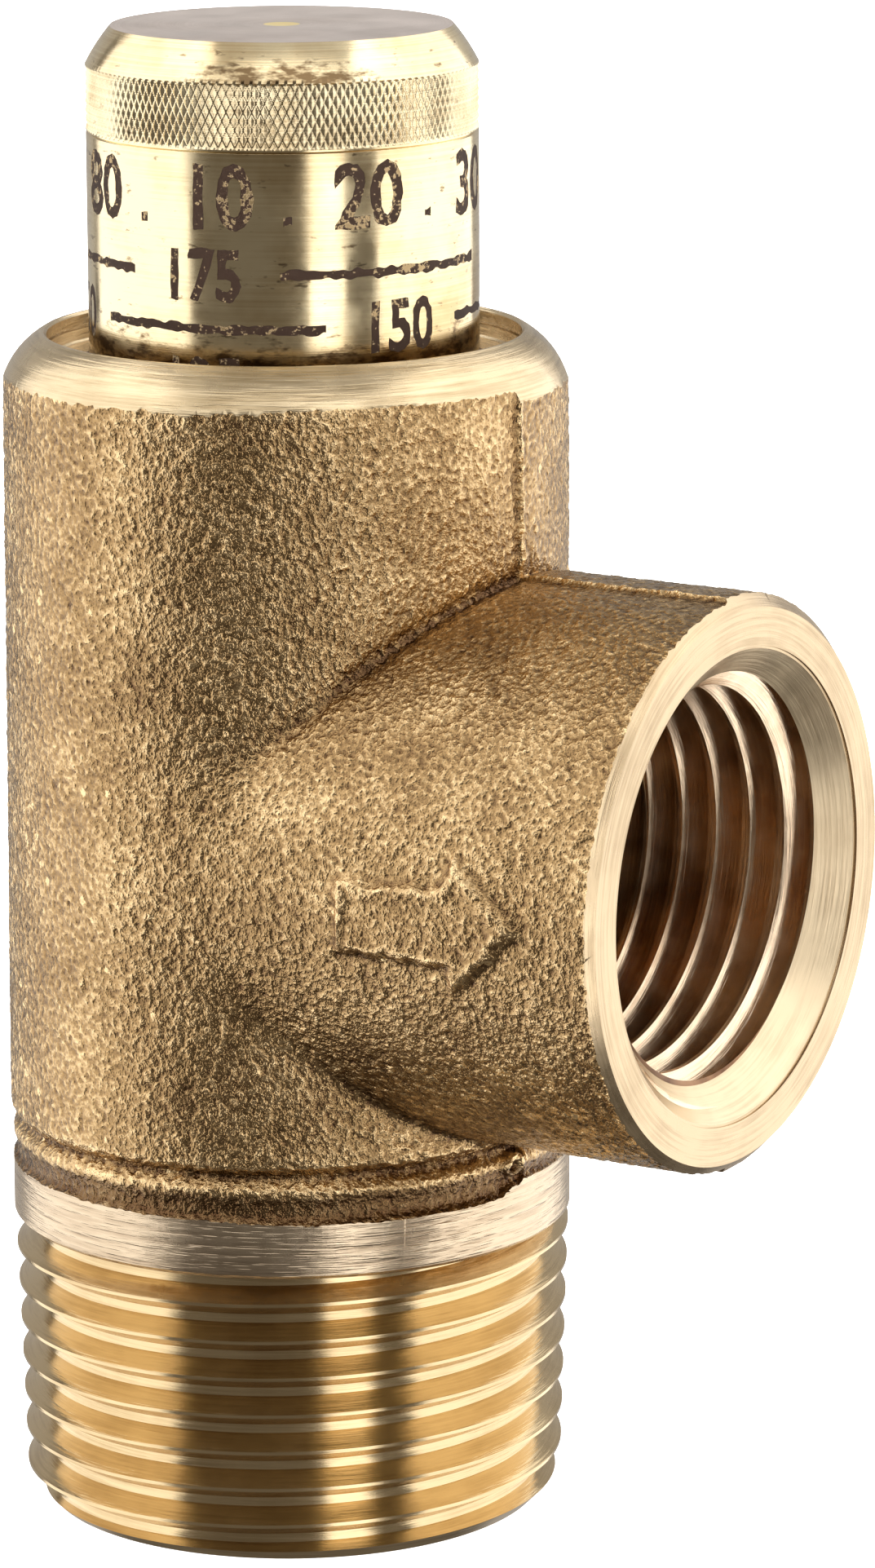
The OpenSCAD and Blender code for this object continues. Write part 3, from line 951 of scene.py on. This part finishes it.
def calibrated_cap(brass, face, knurled, dimple, paint):
    """The cap with its marks cut in, and the paint that lies in them. The last steps of the outline
    are the flat top and the dimple in its middle."""
    outline = cap_outline()
    slots = np.full(len(outline) - 1, SIDE)
    slots[-5:-2] = FACE
    slots[-2:] = DIMPLE
    in_band = [KNURL_LOW - 0.01 < (a[1] + b[1]) / 2 < KNURL_TOP and a[0] > 9
               for a, b in zip(outline, outline[1:])]
    slots[np.array(in_band)] = KNURL
    cap = lathe("cap", outline, KNURLS * (8), [brass, face, knurled, dimple],
                slots.tolist(), knurl)
    boolean(cap, scale_marks(CAP_R - MARK_DEPTH, CAP_R + 0.3, [brass]), "DIFFERENCE")
    cap.name = "knurled_cap"
    shade(cap, 40)
    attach(cap, "cap")
    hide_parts("calibrated_cap")
    ink = scale_marks(CAP_R - MARK_DEPTH + 0.001, CAP_R - 0.015, [paint])
    ink.name = "scale_figures"
    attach(ink, "cap")
    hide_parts("scale_paint")


# ---------------------------------------------------------------- the set spring

SPRING_LOW, SPRING_HIGH = box_mm("set_spring")
WIRE_D = 1.7
COILS = 12


def wire_height(turns):
    """Height of the wire after some turns: the end coils lie close, the others share the rest."""
    closed = WIRE_D + 0.08
    active = (SPRING_HIGH.z - SPRING_LOW.z - WIRE_D - 2 * closed) / (COILS - 2)
    climbed = closed * np.minimum(turns, 1) + active * np.clip(turns - 1, 0, COILS - 2)
    return SPRING_LOW.z + WIRE_D / 2 + climbed + closed * np.maximum(turns - COILS + 1, 0)


def spring_part(name, start, end, material):
    """Round wire along the coils between two numbers of turns."""
    sides, rows = 16, int((end - start) * 64) + 1
    turns = np.linspace(start, end, rows)
    around_wire = np.arange(sides) * 2 * math.pi / sides
    wire_r = WIRE_D / 2 - 0.01
    r = SPRING_HIGH.x - WIRE_D / 2 + wire_r * np.cos(around_wire)[None, :]
    a = (turns * 2 * math.pi)[:, None]
    z = wire_height(turns)[:, None] + wire_r * np.sin(around_wire)[None, :]
    verts = np.stack([r * np.cos(a), r * np.sin(a), z], 2).reshape(-1, 3)
    faces = []
    for i in range(rows - 1):
        for k in range(sides):
            j = (k + 1) % sides
            faces.append([i * sides + k, i * sides + j, (i + 1) * sides + j, (i + 1) * sides + k])
    faces.append(list(range(sides))[::-1])
    faces.append([(rows - 1) * sides + k for k in range(sides)])
    part = mesh_object(name, verts, faces, [material])
    shade(part, 50)
    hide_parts("set_spring")
    return part


def set_spring(material):
    """Two halves of the spring that meet in mid-air."""
    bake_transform(spring_part("set_spring_lower", 0, COILS / 2, material))
    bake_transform(spring_part("set_spring_upper", COILS / 2, COILS, material))


# ---------------------------------------------------------------- stage, light and camera


def glow(name, place, aim, size, brightness):
    """A soft rectangular lamp at place, facing aim, with sizes in metres, that looks as bright as
    brightness all over."""
    light = bpy.data.lights.new(name, "AREA")
    light.shape = "RECTANGLE"
    light.size, light.size_y = size
    light.energy = brightness * math.pi * size[0] * size[1]
    obj = add_object(name, light)
    obj.location = place
    obj.rotation_euler = (Vector(aim) - Vector(place)).to_track_quat("-Z", "Y").to_euler()
    obj.visible_camera = False


def around(bearing, distance, height):
    """A place seen from the valve axis at a bearing in degrees to the right of the camera."""
    a = math.radians(CAMERA_SIDE + bearing - 90)
    return (distance * math.cos(a), distance * math.sin(a), height)


def camera():
    """Long lens, looking down a little from the outlet's side."""
    data = bpy.data.cameras.new("camera")
    data.sensor_fit = "VERTICAL"
    data.sensor_height = 36
    data.lens = 153.7
    data.clip_start = 0.01
    data.clip_end = 10
    obj = add_object("camera", data)
    eye = Vector((0.17197, -0.25952, 0.10447))
    target = Vector((0.01015, -0.0028, 0.0364))
    look = (target - eye).to_track_quat("-Z", "Y").to_matrix().to_4x4()
    roll = Matrix.Rotation(math.radians(-0.244), 4, "Z")
    obj.matrix_world = Matrix.Translation(eye) @ look @ roll
    bpy.context.scene.camera = obj


def stage_material():
    """White paper, lit a little from within."""
    n = Nodes("paper")
    colour = n.ramp(n.noise(30, 2), (0.3, (0.80, 0.80, 0.80)), (0.7, (0.82, 0.82, 0.82)))
    n.set(n.shader.inputs["Emission Color"], (1, 1, 1, 1))
    n.set(n.shader.inputs["Emission Strength"], 0.75)
    return n.finish(colour=colour, rough=0.9, metal=0.0)


def stage():
    """Round paper sweep: a floor that curves up all about the object."""
    floor_r, curve_r, wall_top, cols = 500, 300, 1400, 96
    path = [(floor_r + curve_r * math.sin(t), curve_r - curve_r * math.cos(t))
            for t in np.linspace(0, math.pi / 2, 24)] + [(floor_r + curve_r, wall_top)]
    angle = np.arange(cols) * 2 * math.pi / cols
    rings = [[(r * math.cos(a), r * math.sin(a), z + BODY_LOW.z) for a in angle] for r, z in path]
    verts = np.vstack([np.array(rings).reshape(-1, 3), [[0, 0, BODY_LOW.z]]])
    faces = grid_faces(len(rings), cols)[:, ::-1].tolist()
    faces += [[len(verts) - 1, i, (i + 1) % cols] for i in range(cols)]
    obj = mesh_object("sweep", verts, faces, [stage_material()])
    shade(obj, 60)
    obj.visible_glossy = False
    obj.visible_shadow = False


def softbox(name, low_bearing, high_bearing, distance, bottom, top, brightness):
    """A soft light that fills the bearings between two angles."""
    middle, half = (low_bearing + high_bearing) / 2, math.radians(high_bearing - low_bearing) / 2
    width = 2 * distance * math.tan(half)
    level = (top + bottom) / 2
    glow(name, around(middle, distance, level), (0, 0, level), (width, top - bottom), brightness)


def lights():
    """Panels at both sides, a narrow strip near the camera, a dim one behind, and two from above."""
    softbox("panel_left", -138, -56, 0.5, -0.5, 1.0, 1.55)
    softbox("panel_right", 56, 145, 0.5, -0.5, 1.0, 1.7)
    softbox("strip_right", 14.5, 35.5, 0.62, -0.5, 0.5, 2.0)
    softbox("back", 145, 215, 0.45, -0.4, 0.8, 0.3)
    glow("top", (0, 0, 0.9), (0, 0, 0), (1.6, 1.2), 0.42)
    glow("front_top", around(0, 0.72, 0.85), (0, 0, 0), (2.2, 0.55), 1.2)


def world():
    """Dim warm surroundings."""
    scene = bpy.context.scene
    scene.world = bpy.data.worlds.new("studio")
    scene.world.use_nodes = True
    shader = scene.world.node_tree.nodes["Background"]
    shader.inputs["Color"].default_value = (1, 0.92, 0.82, 1)
    shader.inputs["Strength"].default_value = 0.16
    scene.view_settings.view_transform = "Standard"


# ---------------------------------------------------------------- everything together


def cad_material(node, material):
    """Gives a carried-over CAD node its finish."""
    slots = frame["nodes"][node].material_slots
    if not slots:
        frame["nodes"][node].data.materials.append(material)
    for s in frame["nodes"][node].material_slots:
        s.material = material


# The cap's side: a ragged dark band where it leaves the body's rim, mostly painted shadow and painted
# reflection of the rim, and painted dark reflections on the near side of its chamfer.
turned = turned_brass("turned_brass", "Z", dark_bands=((RIM_Z - 0.8, 2.2),
                                                  (KNURL_TOP + 0.3, 1.1, (PHOTO_SIDE, 8.2))))
cap_face = turned_brass("cap_face", "Z", rough=(0.45, 0.6), colour=(0.74, 0.66, 0.61),
                        dark=(0.62, 0.54, 0.49))
# The knurl is darker in a ragged band on the side that faces the camera.
knurl_brass = turned_brass("knurled_brass", "Z", colour=(0.84, 0.72, 0.48), dark=(0.44, 0.32, 0.17),
                           rough=(0.16, 0.3), dark_bands=((KNURL_TOP - 1.2, 1.7, (PHOTO_SIDE, 9.5)),))
dimple_brass = turned_brass("dimple_brass", "Z", rough=(0.5, 0.6), colour=(1, 0.86, 0.5),
                            dark=(0.9, 0.75, 0.4))
faced_brass = turned_brass("faced_brass", "X", (0, 0, OUTLET_Z), colour=(0.60, 0.46, 0.29),
                           dark=(0.36, 0.26, 0.15), rough=(0.2, 0.34), groove=0.014, fine=5500,
                           streaks=0.55, around=0.3)
cone_brass = turned_brass("cone_brass", "X", (0, 0, OUTLET_Z), colour=(0.70, 0.56, 0.37),
                          dark=(0.50, 0.38, 0.24), rough=(0.28, 0.4), groove=0.014, fine=5500,
                          streaks=0.5, around=0.3)
collar_brass = turned_brass("collar_brass", "Z", colour=(0.63, 0.50, 0.35), dark=(0.42, 0.315, 0.21),
                            rough=(0.2, 0.3), groove=0.15, fine=3600, streaks=0.75, around=0.6)
rim_brass = turned_brass("rim_brass", "Z", colour=(0.68, 0.54, 0.34), dark=(0.42, 0.31, 0.17),
                         rough=(0.2, 0.32), groove=0.04, fine=4200, streaks=0.6, around=0.5)
thread_brass = turned_brass("thread_brass", "Z", colour=(0.67, 0.51, 0.29), dark=(0.50, 0.36, 0.19),
                            rough=(0.12, 0.2), groove=0.016, fine=6000, streaks=0.5, around=0.3)
outlet_brass = turned_brass("outlet_thread_brass", "X", (0, 0, OUTLET_Z), colour=(0.88, 0.68, 0.48),
                            dark=(0.52, 0.36, 0.23), rough=(0.12, 0.26), groove=0.014, fine=6000)
body_materials = [cast_brass(), faced_brass, cone_brass, collar_brass, rim_brass, thread_brass,
                  outlet_brass, inside_brass()]
metal = steel()
rubber = seal_rubber()

valve_body(body_materials)
calibrated_cap(turned, cap_face, knurl_brass, dimple_brass, worn_paint())
set_spring(metal)
for name in ("seat_nozzle", "thrust_ball", "lower_spring_washer", "disc_washer", "disc_screw"):
    cad_material(name, metal)
for name in ("upper_spring_button", "disc_holder"):
    cad_material(name, turned)
for name in ("cap_o_ring", "seat_disc"):
    cad_material(name, rubber)
camera()
stage()
lights()
world()
